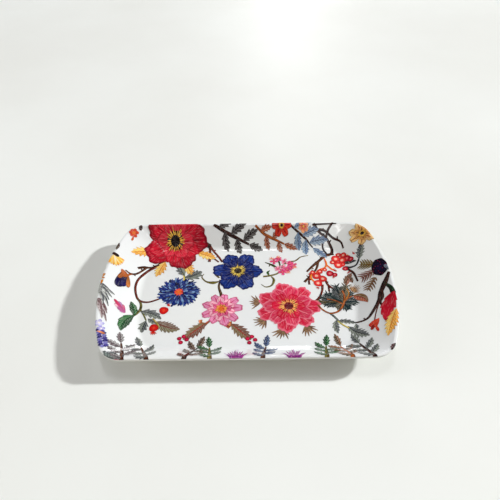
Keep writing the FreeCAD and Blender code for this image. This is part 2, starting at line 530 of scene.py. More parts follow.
BARK_INK = (UMBER, BARK, SOOT)
RED_BARK = ((132, 58, 44), (84, 30, 28), SOOT)
DARK_BARK = ((78, 48, 40), (44, 26, 24), SOOT)
OLIVE_INK = (MOSS, OLIVE, BARK)
RUST_INK = ((190, 104, 52), RUST, BARK)
SAGE_INK = (SAGE, SLATE, (42, 40, 46))
GREEN_INK = (GREEN, DEEP_GREEN, (14, 50, 26))
DARK_HEART = (SOOT, BARK, SOOT)
GOLD_SEEDS = (YELLOW, AMBER, UMBER)


def draw_stems():
    """Twigs, stalks and tendrils, which lie under everything else."""
    stem([(-74, 46), (-76, 39), (-79, 34), (-86, 28.5), (-92.5, 18), (-94.3, 8), (-92, -2), (-88, -6),
          (-82, -7), (-76, -5), (-72, -3)], (3, 3.2, 2.4, 1.8, 1.9, 2, 1.8, 1.6), RED_BARK)
    stem([(-77, 36), (-84, 32.5), (-90, 31), (-95, 28)], (2.6, 1.6, 2.4, 2.2), spurs=2)
    stem([(-88, 31.5), (-92, 25.5), (-96, 21), (-100, 20), (-104, 22)], (1.9, 1.6, 1.8, 1.2), spurs=2)
    stem([(-98, 20.5), (-101, 18), (-103, 15)], (1.4, 2.2), RUST_INK)
    stem([(-92, -3), (-88, -8), (-87.5, -15), (-92, -23)], (1.6, 2.2, 2), (MOSS, OLIVE, SOOT))
    stem([(-87, -15), (-84, -20), (-81, -26)], (1.6, 1.2), (MOSS, DEEP_GREEN, OLIVE))
    stem([(-76, -24), (-72, -29), (-70, -33)], (1.3, 1.3), (YELLOW, MOSS, OLIVE), 3)
    stem([(-54, 15), (-54, 20), (-56, 25)], (2.2, 1.4), (YELLOW, GREEN, OLIVE), 3)
    stem([(-41, 60), (-37, 57.5), (-33, 55.5)], (3.8, 3.4, 3.6), DARK_BARK, 2, 1)
    stem([(-34, 57), (-29, 50), (-25, 44), (-22, 38)], (2, 2, 1.8), RED_BARK, 1, 2)
    stem([(-34, 56), (-33, 47), (-33.5, 38.5)], (2.2, 1.8, 2.8), RED_BARK, 1, 3)
    stem([(-33, 46), (-29, 42), (-25, 38)], (1.6, 1.6), RED_BARK, 1, 1)
    stem([(-23, 17), (-24, 9), (-22, 1), (-21, -5), (-21, -12)], (1.6, 2, 2.8, 3.4),
         ((112, 84, 50), (70, 46, 30), SOOT))
    stem([(-24, 15), (-29, 13.6), (-35, 15), (-39, 20), (-37.5, 24)], (1.2, 3.4, 1.6, 1.2, 0.6), OLIVE_INK)
    stem([(-24, 19), (-27.5, 24), (-27, 31)], (1.4, 2.4, 0.6), OLIVE_INK)
    stem([(14, 20), (20, 21), (27, 24), (31, 32), (36, 37), (43, 38.5), (48, 43), (55, 45)],
         (2, 1.6, 1.6, 1.4, 0.8), OLIVE_INK)
    stem([(21, 20), (23, 16), (21, 10), (16, 8), (12, 11)], (1.2, 2.4, 1.6, 1.2, 0.6), (MOSS, OLIVE, SOOT))
    stem([(19, 21), (18, 25), (20, 27)], (1.2, 2.4, 0.8), (GREEN, OLIVE, DEEP_GREEN))
    stem([(29, 27), (23, 33), (16, 37)], (1.8, 2.4, 0.8), (OLIVE, DEEP_GREEN, SOOT), 1, 2)
    stem([(29, 28), (29, 34), (28, 39)], (1.4, 1.6), (OLIVE, DEEP_GREEN, SOOT))
    stem([(78, 47), (70, 44), (64, 38), (58, 32), (52, 25)], (3.2, 2.8, 2.6, 1.8), spurs=4)
    stem([(63, 37), (61, 29), (57, 23), (53, 18), (49, 13)], (2.6, 1.8, 2, 2.4), spurs=3)
    stem([(54, 18), (53, 14), (53, 10)], (1.4, 2), RED_BARK, 1, 1)
    stem([(64, 10), (63, 3), (60, -4), (55, -9), (49, -12)], (2.4, 1.8, 1.8, 2.2), RED_BARK)
    stem([(67, 16), (69, 9), (74, 4)], (2.2, 2.2), RED_BARK, 1, 2)
    stem([(69, 10), (69, 2)], (1.6, 1.8), RED_BARK, 1, 1)
    stem([(76, 45), (77, 52), (73, 60), (66, 65), (61, 71)], (3.2, 2.2, 1.8, 2.6), DARK_BARK, 2, 1)
    stem([(72, 60), (74, 66), (79, 72)], (2.2, 1.8), DARK_BARK, 1, 1)
    stem([(62, 66), (70, 66), (78, 61), (85, 57), (87, 50)], (2.2, 2, 1.8, 1.4), DARK_BARK, 1, 2)
    stem([(70, 64), (69, 54), (72, 46)], (2.4, 1.6, 2), (SLATE, BARK, SOOT), 1)
    stem([(60, 70), (70, 70.5), (82, 70.8)], (1.4, 1), DARK_BARK)
    stem([(118, 10), (114, 2), (108.5, -8), (106, -15), (101, -23), (95, -30), (88, -31), (79, -29)],
         (2.2, 4.4, 3.4, 2.6, 2.2, 1.6, 0.9), DARK_BARK, 1, 3)
    stem([(112, 1), (116, -6), (117, -13)], (2.2, 3.2, 4.2), (DEEP_GREEN, SOOT, SOOT))
    stem([(109, -6), (109, -13), (106.5, -18), (108, -24)], (3.2, 2, 1.6), DARK_BARK)
    stem([(106, -17), (102, -26), (99, -35)], (1, 0.9), RED_BARK)
    stem([(58, -12), (61, -17), (67, -21), (74, -19), (79, -12), (81, -4), (80, 3)],
         (1.6, 1.4, 1.8, 1.8, 1.4), RUST_INK, 6)
    stem([(79, -12), (73, -8), (66, -6)], (1.4, 0.8), RUST_INK, 6)
    stem([(80, -9), (86, -4), (90, -3)], (1.4, 0.8), RUST_INK, 6)
    stem([(67, -21), (71, -26), (73, -30)], (1.8, 2), SAGE_INK)
    stem([(72, -29), (76, -33), (80, -36)], (1.4, 1.4), (YELLOW, MOSS, GREEN), 3)
    stem([(86, 30), (90, 28), (95, 28.5), (98, 34), (100, 41)], (2.6, 1.6, 1.5, 1.5), (SLATE, SOOT, SOOT))
    stem([(88, 27), (92, 21), (94, 11)], (2, 1.8, 1.4), DARK_BARK)
    stem([(-36, -34), (-32, -29), (-27, -25)], (2.6, 1.8), ((206, 96, 74), UMBER, BARK))
    stem([(-14, -34), (-19, -30), (-24, -26)], (2.6, 1.6), ((206, 96, 74), UMBER, BARK))
    stem([(-33, -30), (-37, -29), (-37.5, -26)], (1.6, 3.2), (PEACH, RUST, BARK))
    stem([(-16, -31), (-13.5, -32), (-14, -28)], (1.6, 3.4), (PEACH, RUST, BARK))


def rosette(centre, radius, rings, heart, seeds):
    """An open flower: rings of ruffled petals round a heart with seeds."""
    for ring, (count, reach, colours) in enumerate(rings):
        layer = 4 + ring * 1.5
        vein = (colours[0], colours[2], colours[2])
        for number in range(count):
            angle = (number + ring / 2) * 360 / count + random.uniform(-5, 5)
            length = radius * reach * random.uniform(0.92, 1.06)
            petals.fan(centre, angle, 420 / count, length, colours, layer + number % 3 * 0.4,
                       ruffle=3, depth=0.03, roundness=0.36)
            places = [polar(centre, angle, radius * reach * share) for share in (0.35, 0.6, 0.86)]
            stem(places, (0.3, 0.8, 0.3), vein, layer + 1.3)
    petals.disc(centre, radius * 0.24, heart, 10, ruffle=11, depth=0.08)
    for number in range(26):
        angle = number * GOLDEN_ANGLE
        tip = polar(centre, angle, radius * random.uniform(0.26, 0.36))
        needle(polar(centre, angle, radius * 0.14), tip, 1.2, seeds, 10.4)


def sprig(points, widths, ink, leaf_ink, count, size):
    """A stalk with leaves on alternate sides and one at its end."""
    stem(points, widths, ink)
    line = smooth_line(points)
    ahead = forwards(line)
    for number in range(count):
        row = round((number + 1) / count * (len(line) - 1))
        heading = math.degrees(math.atan2(ahead[row][1], ahead[row][0]))
        turn = 0 if number == count - 1 else (-1) ** number * 52
        tip = polar(line[row], heading + turn, size * random.uniform(0.85, 1.1))
        leaf(line[row], tip, size * 0.5, leaf_ink, 2.4, bend=turn / 500, teeth=4)


def draw_blooms():
    """The large open flowers."""
    red, red_rings = (-65, 60), (
        (5, 1, (WINE, (176, 18, 42), MAROON)), (6, 0.84, ((184, 14, 38), (200, 30, 52), WINE)),
        (6, 0.6, ((196, 22, 44), (216, 52, 70), WINE)),
    )
    rosette(red, 29, red_rings, (SOOT, (20, 14, 22), SOOT), GOLD_SEEDS)
    for turn in (205, 250, 295, 335):
        amber = (YELLOW, AMBER, (196, 104, 30))
        leaf(polar(red, turn, 22), polar(red, turn, 41), 11, amber, 3, teeth=5, bite=0.55)
    rosette((-8, 27), 23, (
        (6, 1, ((14, 24, 74), (30, 56, 132), (30, 14, 34))),
        (6, 0.7, ((14, 20, 62), (24, 42, 110), (30, 14, 34))),
    ), (SOOT, OLIVE, BARK), (YELLOW, (206, 176, 84), OLIVE))
    rosette((-21, -15), 17, (
        (9, 1, ((206, 44, 104), (226, 140, 180), (168, 24, 76))),
        (9, 0.74, ((214, 60, 120), BLUSH, (190, 34, 92))), (7, 0.48, ((190, 34, 92), PINK, WINE)),
    ), (ORANGE, CORAL, WINE), (PEACH, AMBER, MAROON))
    rosette((34, -13), 27, (
        (7, 1, (CRIMSON, (206, 34, 66), (232, 130, 150))),
        (7, 0.78, ((196, 24, 52), (212, 50, 84), (236, 140, 160))),
        (6, 0.54, ((190, 22, 44), (206, 36, 66), CRIMSON)),
    ), (MAROON, WINE, SOOT), (YELLOW, PEACH, CORAL))
    for turn in (170, 215, 255, 300):
        tuft = ((150, 122, 88), (112, 82, 72), (84, 60, 50))
        star(polar((34, -13), turn, 24), turn, 110, 10, tuft, 7, 2, 2.4)


def draw_aster():
    """A blue aster with many thin petals."""
    centre = (-57.5, 3.5)
    plain, pale = (NAVY, (26, 46, 120), NAVY), ((30, 50, 120), (116, 152, 198), NAVY)
    shades = (plain, plain, (NAVY, (30, 58, 134), SOOT), (SOOT, NAVY, SOOT))
    petals.disc(centre, 15.5, (NAVY, (26, 48, 118), NAVY), 2.6, ruffle=17, squash=0.9)
    for ring, (count, reach) in enumerate(((72, 17.8), (62, 15.4), (48, 12.4), (34, 9.2), (18, 5.6))):
        for number in range(count):
            angle = number * 360 / count + ring * 7 + random.uniform(-6, 6)
            shade = pale if number % 4 == 1 else random.choice(shades)
            size = reach * random.uniform(0.86, 1.08)
            petal(polar(centre, angle, size * 0.3, 0.92), polar(centre, angle, size, 0.9), 2.3, shade,
                  3 + ring * 1.3 + number % 4 * 0.3, bend=random.uniform(0.08, 0.24))
    petals.disc(centre, 3.8, (ORANGE, CORAL, MAROON), 10, ruffle=9, depth=0.16)


def draw_berry_clusters():
    """Coral berries and pink florets on the right."""
    coral = ((248, 190, 170), (218, 58, 54), (160, 24, 36))
    ruby = ((236, 120, 120), (200, 34, 56), MAROON)
    for points in (
        ((69, 41), (70, 33), (66, 26)), ((70, 33), (74, 28), (78, 25)), ((69, 30), (62, 26), (60, 22)),
        ((80, 46), (84, 38), (90, 42)), ((66, 20), (62, 14)), ((84, 36), (80, 32)),
        ((58, 26), (55, 18), (60, 10)),
    ):
        stem(points, (1.3, 1.9, 1.3), (AMBER, (222, 100, 44), CORAL), 4)
    for number, (centre, size) in enumerate((
        ((72, 22.5), 3.4), ((60, 20), 3.9), ((65, 16.5), 3.6), ((60.5, 11.5), 3.7), ((88.5, 38.5), 3.2),
        ((63.5, 25), 2.6), ((57, 24), 2.2), ((79, 40), 4), ((76, 21), 2.4), ((84.5, 38), 3.6),
        ((80.5, 32.5), 3.9), ((76, 36), 2.6), ((91.5, 36.5), 2.5), ((86, 43), 2.8), ((82, 44.5), 2.4),
        ((68, 27), 2), ((86, 28), 2.6), ((84, 33), 2.6),
    )):
        berry(centre, size, coral if number % 4 else ruby, 5 + number % 4 * 0.4)
    for centre, turn in (
        ((60, 7), 250), ((76, 26), 20), ((94, 41), 30), ((88, 24), 300), ((74, 19), 330), ((55, 22), 170),
    ):
        star(centre, turn, 120, 2.6, (CORAL, WINE, MAROON), 4, 4.6, 0.9)
    pink = ((206, 40, 100), PINK, WINE)
    pale = ((214, 70, 130), BLUSH, ROSE)
    for number, (centre, size) in enumerate((
        ((24, 38), 3.8), ((28, 41), 3.4), ((33, 38), 3.8), ((38, 35), 3.6), ((41, 33), 3.6), ((27, 29), 3.4),
        ((31, 25), 4), ((35, 28), 4.2), ((32, 31), 3.6), ((38, 30), 3.4),
    )):
        shade = pale if number % 3 == 2 else pink
        floret(centre, size, shade, (PEACH, (226, 90, 110), WINE), 4 + number % 2, number * 31)
    for centre in ((22, 41), (28, 43), (42, 30), (36, 24)):
        star(centre, 90, 200, 2.8, (YELLOW, PINK, ROSE), 5, 6, 0.9)


def draw_left_side():
    """Buds, fruits and leaves of the left wall and corner."""
    for angle in (20, 75, 130, 185, 235, 300):
        tip = polar((-102, 63), angle, 4.5)
        petal((-102, 63), tip, 4.2, (CORAL, (212, 76, 36), MAROON), 4 + angle % 3 * 0.3)
    petals.disc((-102, 63), 3, ((236, 130, 60), CORAL, WINE), 6, ruffle=5)
    petal((-102, 60), (-103, 54.5), 2.6, (CORAL, ORANGE, MAROON))
    petals.disc((-96.5, 69), 1.6, DARK_HEART, 6, squash=1.6)
    leaf((-113.2, 49), (-113.6, 40), 3.6, (OLIVE, BARK, SOOT), teeth=0, sweep=0)
    for number in range(11):
        tip = polar((-114.5, 34), -128 + number * 11, 11.5 - abs(number - 5) * 0.5)
        shade = (CREAM, YELLOW, ORANGE) if number % 2 else (YELLOW, AMBER, (206, 110, 40))
        petal((-114.5, 34), tip, 2.6, shade, 4 + number % 3 * 0.4)
    petal((-118, 37), (-110.5, 33.5), 4.4, (BARK, SOOT, SOOT), 6)
    for points in (((-118.5, 12), (-119.5, 8), (-117.5, 7)), ((-119.5, 5), (-118.8, 3), (-119.4, 1))):
        stem(points, (2.4, 1.6, 1), (AMBER, ORANGE, UMBER), 3)
    petal((-105, 21), (-107, 2.5), 10.5, (SOOT, (28, 26, 76), SOOT), 4)
    petal((-103, 20), (-103.5, 4), 7, (SOOT, (40, 38, 96), SOOT), 4.6)
    petal((-101, 17), (-99.5, 4.5), 4.6, ((140, 84, 40), (188, 110, 50), BARK), 5.2)
    petal((-104, 21), (-108.5, 12), 5, (RUST, (150, 84, 40), BARK), 5.8, bend=0.1)
    petal((-107, 22), (-102, 14.5), 6.5, ((176, 92, 44), RUST, BARK), 6.2)
    leaf((-91, -22), (-95.5, -8.5), 6.5, GREEN_INK, 3, bend=-0.1, teeth=3, bite=0.2)
    leaf((-91, -22), (-97.5, -41), 9, GREEN_INK, 3, bend=-0.26, teeth=4, bite=0.2)
    for tip, width, shade in (
        ((-107.5, -11), 3.6, ROSE), ((-104, -12), 4.2, LILAC), ((-104, -18), 4.4, (190, 96, 150)),
        ((-106.5, -15), 4.2, BLUSH), ((-102, -20.5), 3.6, LILAC), ((-100.5, -14), 2.6, (206, 90, 120)),
    ):
        colours = ((190, 100, 150), shade, (104, 70, 96))
        petal((-97.5, -22), tip, width, colours, 4 + random.randrange(3) * 0.5)
    leaf((-87, -17), (-69, -25), 9, SAGE_INK, bend=0.2, teeth=4)
    leaf((-80, -24), (-72, -29), 5, SAGE_INK, bend=-0.1, teeth=3)
    leaf((-81, -26), (-83, -38), 9, SAGE_INK, bend=-0.08, teeth=3, bite=0.6)
    brown = ((118, 116, 84), (112, 86, 74), (104, 40, 44))
    leaf((-74, -27), (-53, -35), 11.5, brown, 2, bend=-0.16, teeth=8, bite=0.4)
    star((-76, 32), 90, 200, 2.4, SAGE_INK, 5, 2, 1.1)
    leaf((-54, 22), (-60, 36), 9.5, SAGE_INK, 3, bend=0.1, teeth=4, bite=0.6)
    leaf((-54, 20), (-39.5, 27), 12.5, SAGE_INK, 3, bend=-0.16, teeth=4, bite=0.55, sweep=0.5)
    red = ((214, 62, 42), (196, 34, 30), WINE)
    berry((-68, -16), 3.8, red)
    berry((-74, -33.5), 3.7, red)
    star((-65, -11), 50, 130, 2.8, red, 4, 4.6, 1.3)
    star((-74, -37), -92, 110, 3.6, red, 5, 4.6, 1.5)
    grey, mauve = ((190, 192, 188), (78, 80, 86), (34, 32, 36)), ((186, 176, 176), (112, 88, 92), BARK)
    for base, tip in (
        ((-120, -1), (-107.5, -7)), ((-120, -2), (-109, -10.5)), ((-120, -3), (-110.5, -14)),
        ((-120, -3), (-110, -20.5)), ((-119.5, -4), (-114, -20)), ((-120, 0), (-112, -3.5)),
        ((-119, -15), (-109.5, -28)), ((-119, -16), (-108.5, -36)), ((-118.5, -17), (-112, -34)),
        ((-118.5, -15), (-110, -25)),
    ):
        needle(base, tip, 4.4, grey if base[1] > -10 else mauve, 2 + random.uniform(0, 1), 0.06)
    floret((-113, -39), 3.8, ((224, 218, 240), (160, 158, 214), VIOLET), (WHITE, CREAM, VIOLET), 5, 10, 4)
    floret((-110.5, -44), 3, ((206, 200, 236), (140, 136, 206), VIOLET), (WHITE, CREAM, VIOLET), 5, 40, 4)
    petal((-113, -47), (-107, -48), 3, (PEACH, RUST, UMBER), 6)
    violets = (
        (NAVY, (62, 52, 130), NAVY), ((96, 92, 170), (150, 148, 204), NAVY),
        ((40, 36, 100), (84, 76, 156), NAVY),
    )
    for number in range(27):
        row, turn = number // 4, number % 3
        place = (-112.6 + number % 4 * 1.7 + row * 0.75, -46 - row * 2.2 - number % 2 * 1.2)
        petals.disc(place, random.uniform(1.1, 1.6), violets[turn], 4 + turn * 0.5, ruffle=4, depth=0.2)
    for base, tip, width in (((-105, -65), (-91, -72), 6.5), ((-104, -66), (-96, -74), 6)):
        leaf(base, tip, width, ((118, 134, 130), SLATE, SOOT), 2, bend=0.1, teeth=0, sweep=0.2)
    petal((-97, -72), (-90, -74), 3, (ROSE, PINK, WINE), 3)
    petal((-84, -73), (-72, -73.5), 2.2, (ROSE, PINK, WINE), 3)


def draw_right_side():
    """Dark fruit, feathery leaves and rim leaves on the right."""
    for base, tip, width, colours in (
        ((108, 23), (99, 27), 9, ((134, 120, 84), OLIVE, UMBER)),
        ((108, 16), (98, 13), 9, ((146, 110, 104), (110, 72, 70), UMBER)),
        ((107, 9), (100, -1), 8, ((140, 120, 96), (104, 76, 66), UMBER)),
    ):
        feather(base, tip, width * 1.25, colours, 2, 2)
    fruits.disc((112, 18), 6, ((34, 22, 58), (26, 16, 40), SOOT), 4, ruffle=7, depth=0.03, squash=1.5)
    for number in range(26):
        place = polar((112, 18), number * GOLDEN_ANGLE, 1.05 * math.sqrt(number + 0.5), 1.5)
        shade = ((170, 30, 80), (120, 24, 66), MAROON) if number % 2 else ((60, 70, 130), NAVY, SOOT)
        fruits.disc(place, 0.5, shade, 5)
    petal((118, 12), (116, 19), 3.4, (SLATE, (120, 128, 150), SOOT), 6)
    teal = ((48, 64, 62), (28, 40, 46), (14, 14, 22))
    fern = ((96, 88, 60), (60, 54, 40), SOOT)
    for tip, width, colours in (
        ((60, -4), 10, teal), ((59, -9), 8, fern), ((65, 0), 11, teal), ((63, -12), 8, teal),
        ((75, 9), 12, teal), ((84, 9), 11, fern), ((82, -17), 8, teal), ((90, -9), 10, teal),
        ((73, -15), 8, fern), ((88, 1), 9, teal),
    ):
        leaf((79, -10), tip, width, colours, 3 + random.uniform(0, 0.8), bend=0.06, bite=0.55, sweep=0.5)
        feather((79, -10), tip, width, colours, 2.6, 1.8)
    stem([(80, -9), (85, -1), (84, 5)], (1.2, 0.6), (AMBER, RUST, UMBER), 6)
    leaf((88, -3), (98, -14), 7, ((176, 96, 66), (110, 96, 56), WINE), 3.8, bend=0.28, teeth=0, sweep=0)
    for tip in ((53, -11), (55, -14), (56, -8)):
        leaf((63, -9), tip, 3.2, (MOSS, UMBER, BARK), 3, teeth=3)
    russet = ((150, 84, 56), (96, 70, 46), SOOT)
    leaf((84, 8), (91, 22), 7, russet, 3, bend=0.2, teeth=5, bite=0.4)
    leaf((86, 20), (90, 11), 5, russet, 3.4, bend=0.1, teeth=4, bite=0.4)
    star((88, 2), 35, 130, 8, ((196, 160, 120), (150, 108, 78), UMBER), 11, 2, 1.2)
    leaf((72, -29), (87, -31.5), 5.5, SAGE_INK, bend=0.12, teeth=5, bite=0.6)
    leaf((71, -28), (71, -41), 6.5, SAGE_INK, bend=-0.15, teeth=4)
    leaf((79, -34), (93.5, -47.5), 10, SAGE_INK, bend=-0.05, teeth=7, bite=0.65, sweep=0.5)
    leaf((86, -32), (86, -38), 4, SAGE_INK, 2.4, teeth=2)
    leaf((98, 33), (103, 49), 8, SAGE_INK, bend=0.06, teeth=5, bite=0.6)
    leaf((85, 34.5), (96, 32.6), 4.4, ((50, 40, 38), SOOT, SLATE), 3, bend=0.1, teeth=0, sweep=0)
    rosette((104, 59), 12, (
        (7, 1, ((190, 70, 30), (240, 200, 130), UMBER)), (6, 0.6, (MAROON, (222, 160, 84), UMBER)),
    ), DARK_HEART, GOLD_SEEDS)
    stem([(99, 45), (102, 50), (104, 55)], (1.2, 2), DARK_BARK, 2)
    petals.blade((118, -11), (106.5, -38), 12, (CRIMSON, (202, 22, 48), MAROON), 4, leaf_shape,
                 -0.08, 4, 0.25, 0.3)
    leaf((116, -29), (105, -53), 10, (YELLOW, AMBER, (190, 100, 30)), 5, bend=-0.03, teeth=7)
    heart = ((214, 76, 50), (196, 50, 30), WINE)
    petals.fan((103, -33), -136, 70, 10.5, heart, 4, ruffle=2, depth=0.05)
    petal((99, -38), (100, -46), 3, heart, 4.4)
    petal((98, -38), (95.5, -43), 3.4, ((120, 30, 26), (150, 40, 30), SOOT), 4.8)
    leaf((108.5, -61), (104, -67), 4, ((92, 40, 44), SOOT, SOOT), 2, teeth=3)


def draw_back_wall():
    """Sprigs and small flowers along the back rim."""
    charcoal, russet = ((64, 58, 60), (34, 30, 34), SOOT), ((176, 92, 50), (150, 70, 40), BARK)
    grey_blue = ((150, 176, 204), (92, 122, 166), (52, 62, 84))
    sprig([(-30, 71), (-20, 66), (-8, 61), (2, 57)], (2.4, 3, 1.6), DARK_BARK, charcoal, 6, 16)
    sprig([(8, 70), (16, 64), (26, 60), (34, 57)], (1.8, 2.4, 1.2), RUST_INK, russet, 5, 12)
    rosette((32, 70), 9, ((6, 1, ((186, 24, 28), (214, 54, 30), MAROON)),), DARK_HEART, GOLD_SEEDS)
    sprig([(40, 70), (47, 65), (54, 60), (60, 54)], (1.6, 2, 1), DARK_BARK, grey_blue, 6, 16)
    floret((52, 69), 5, (SCARLET, (238, 172, 120), MAROON), GOLD_SEEDS, 6, 20)


def draw_front_wall():
    """Sprigs, thistles and leaves along the front rim."""
    for x, lean, ink, leaves in (
        (-90, -5, BARK_INK, ((150, 146, 146), (92, 76, 82), (40, 26, 32))), (-72, -9, BARK_INK, SAGE_INK),
        (-46, 8, DARK_BARK, ((112, 80, 58), (74, 48, 38), SOOT)), (-27, -2, OLIVE_INK, GREEN_INK),
        (11, 3, BARK_INK, ((70, 96, 140), (40, 58, 104), SOOT)), (57, 3, OLIVE_INK, GREEN_INK),
        (76, -5, RUST_INK, ((150, 96, 62), (88, 78, 52), SOOT)), (92, -7, DARK_BARK, SAGE_INK),
    ):
        sprig([(x, -74), (x + lean * 0.3, -66), (x + lean, -53)], (3.6, 2.8, 1.2), ink, leaves, 6, 12)
    purple, pale = ((176, 60, 140), (120, 40, 120), (70, 40, 90)), ((232, 200, 226), LILAC, VIOLET)
    for middle in (-8, 34):
        for number in range(24):
            x = number - 11.5
            shade = purple if number % 3 else pale
            tip = (middle + x * 0.75 + random.uniform(-1, 1), -56 - abs(x) * 0.7 - number * 5 % 6)
            needle((middle + x * 0.2, -74), tip, 2, shade, 3 + number % 3 * 0.4)
    brown = ((112, 102, 58), (96, 60, 44), (150, 40, 44))
    for base, tip in (((-33, -29), (-50, -45)), ((-13, -30), (3, -46))):
        leaf(base, tip, 11.5, brown)
        for number in range(4):
            berry(polar(tip, number * 80, 3), 1.8, ((206, 52, 84), (186, 24, 62), MAROON), 4)


draw_stems()
draw_blooms()
draw_aster()
draw_berry_clusters()
draw_left_side()
draw_right_side()
draw_back_wall()
draw_front_wall()

# ---------------------------------------------------------------- materials


class Graph:
    """Short calls for building a material's nodes."""

    def __init__(self, name):
        self.material = bpy.data.materials.new(name)
        self.material.use_nodes = True
        self.tree = self.material.node_tree
        self.shader = self.tree.nodes["Principled BSDF"]
        self.place = self.add("ShaderNodeTexCoord").outputs["Object"]

    def add(self, kind, *values, **settings):
        """A new node with its first inputs filled in order."""
        node = self.tree.nodes.new(kind)
        for name, setting in settings.items():
            setattr(node, name, setting)
        for socket, value in zip(node.inputs, values):
            self.feed(socket, value)
        return node

    def feed(self, socket, value):
        if isinstance(value, bpy.types.NodeSocket):
            self.tree.links.new(value, socket)
        else:
            socket.default_value = value

    def set(self, name, value):
        self.feed(self.shader.inputs[name], value)

    def math(self, operation, first, second=0.0):
        return self.add("ShaderNodeMath", first, second, operation=operation).outputs[0]

    def mix(self, share, first, second):
        node = self.add("ShaderNodeMix", share, data_type="RGBA")
        self.feed(node.inputs[6], first)
        self.feed(node.inputs[7], second)
        return node.outputs[2]

    def rise(self, *values):
        """A smooth step: the value, where it starts and ends, and what it gives there."""
        return self.add("ShaderNodeMapRange", *values, interpolation_type="SMOOTHSTEP").outputs[0]

    def noise(self, vector, scale, detail=2.0):
        node = self.add("ShaderNodeTexNoise", vector)
        self.feed(node.inputs["Scale"], scale)
        self.feed(node.inputs["Detail"], detail)
        return node.outputs["Fac"]

    def bump(self, height, strength):
        node = self.add("ShaderNodeBump")
        for name, value in (("Strength", strength), ("Distance", BUMP_DEPTH), ("Height", height)):
            self.feed(node.inputs[name], value)
        self.set("Normal", node.outputs["Normal"])

    def glaze(self, colour, roughness=0.045, gloss=0.5):
        """A glossy melamine surface: faint ripples and handling marks in the clear layer."""
        wear = self.noise(self.place, 260.0, 4.0)
        self.bump(self.noise(self.place, 34.0, 1.0), 0.12)
        self.set("Roughness", self.rise(wear, 0.35, 0.75, roughness, roughness * 2))
        self.set("Base Color", colour)
        self.set("IOR", 1.55)
        self.set("Specular IOR Level", gloss)
        return self.material


class InkGraph(Graph):
    """An ink's nodes, with its own colours and its places in the shape."""

    def __init__(self, name):
        super().__init__(name)
        self.inner, self.outer, self.line = map(self.attribute, ("inner", "outer", "line"))
        self.along, self.across, _ = self.split(self.attribute("place"))
        self.grain = self.split(self.attribute("grain"))

    def attribute(self, name):
        return self.add("ShaderNodeAttribute", attribute_name=name).outputs["Vector"]

    def split(self, vector):
        return self.add("ShaderNodeSeparateXYZ", vector).outputs

    def blend(self, colour, over, mask, strength):
        return self.mix(self.math("MULTIPLY", mask, strength), colour, over)

    def brush(self, colour, over, fine, coarse, steps, strength, offset=0.0):
        """Streaks that run from the base to the tip; frequencies are per millimetre."""
        down, across, shift = self.grain
        place = self.add("ShaderNodeCombineXYZ", self.math("MULTIPLY", down, coarse),
                         self.math("MULTIPLY", across, fine), self.math("ADD", shift, offset))
        return self.blend(colour, over, self.rise(self.noise(place.outputs[0], 1.0), *steps), strength)

    def border(self, colour, over, width, strength, along=0.0):
        """A line at the very edge of a shape."""
        edge = self.math("MAXIMUM", self.math("ABSOLUTE", self.across), along)
        return self.blend(colour, over, self.rise(edge, 1 - width, 1 - width * 0.4), strength)


INK_GLOSS = 0.16
BUMP_DEPTH = 0.0005
BLACK = (0.004, 0.003, 0.003, 1.0)
LIGHT = (1.0, 0.97, 0.94, 1.0)


def petal_ink():
    ink = InkGraph("petal_ink")
    colour = ink.mix(ink.rise(ink.along, 0.1, 0.92), ink.inner, ink.outer)
    colour = ink.brush(colour, ink.mix(0.5, ink.inner, BLACK), 1.1, 0.16, (0.5, 0.62), 0.4)
    colour = ink.brush(colour, ink.mix(0.26, ink.outer, LIGHT), 1.5, 0.22, (0.52, 0.64), 0.36, 11.0)
    colour = ink.brush(colour, ink.line, 3.2, 0.8, (0.52, 0.62), 0.1, 23.0)
    colour = ink.border(colour, ink.line, 0.11, 0.6, ink.along)
    return ink.glaze(colour, gloss=INK_GLOSS)


def leaf_ink():
    """Two halves with a midrib and slanted veins, hatched along the veins."""
    ink = InkGraph("leaf_ink")
    down, across, shift = ink.grain
    slant = ink.math("SUBTRACT", down, ink.math("MULTIPLY", ink.math("ABSOLUTE", across), 0.9))
    vein = ink.math("FRACT", ink.math("MULTIPLY", slant, 0.42))
    ridge = ink.math("MULTIPLY", ink.rise(vein, 0.0, 0.14), ink.rise(vein, 0.4, 0.2))
    furrow = ink.math("MULTIPLY", ink.rise(vein, 0.5, 0.64), ink.rise(vein, 0.95, 0.75))
    midrib = ink.rise(ink.math("ABSOLUTE", ink.across), 0.14, 0.05)
    ink.grain = (slant, across, shift)
    colour = ink.mix(ink.rise(ink.across, -0.25, 0.3), ink.inner, ink.outer)
    colour = ink.brush(colour, ink.mix(0.6, ink.outer, BLACK), 0.5, 1.3, (0.48, 0.6), 0.6)
    colour = ink.brush(colour, ink.mix(0.3, ink.inner, LIGHT), 0.6, 1.7, (0.52, 0.64), 0.6, 5.0)
    colour = ink.blend(colour, ink.line, ridge, 0.5)
    colour = ink.blend(colour, ink.mix(0.4, ink.inner, LIGHT), furrow, 0.3)
    colour = ink.blend(colour, ink.line, midrib, 0.8)
    colour = ink.border(colour, ink.mix(0.5, ink.line, BLACK), 0.2, 0.6)
    return ink.glaze(colour, gloss=INK_GLOSS)


def stem_ink():
    ink = InkGraph("stem_ink")
    colour = ink.mix(ink.rise(ink.across, -0.6, 0.6), ink.outer, ink.inner)
    colour = ink.brush(colour, ink.line, 0.9, 0.3, (0.47, 0.58), 0.7)
    colour = ink.brush(colour, ink.mix(0.12, ink.inner, LIGHT), 1.3, 0.35, (0.55, 0.66), 0.5, 7.0)
    colour = ink.border(colour, ink.line, 0.34, 0.7)
    return ink.glaze(colour, gloss=INK_GLOSS)


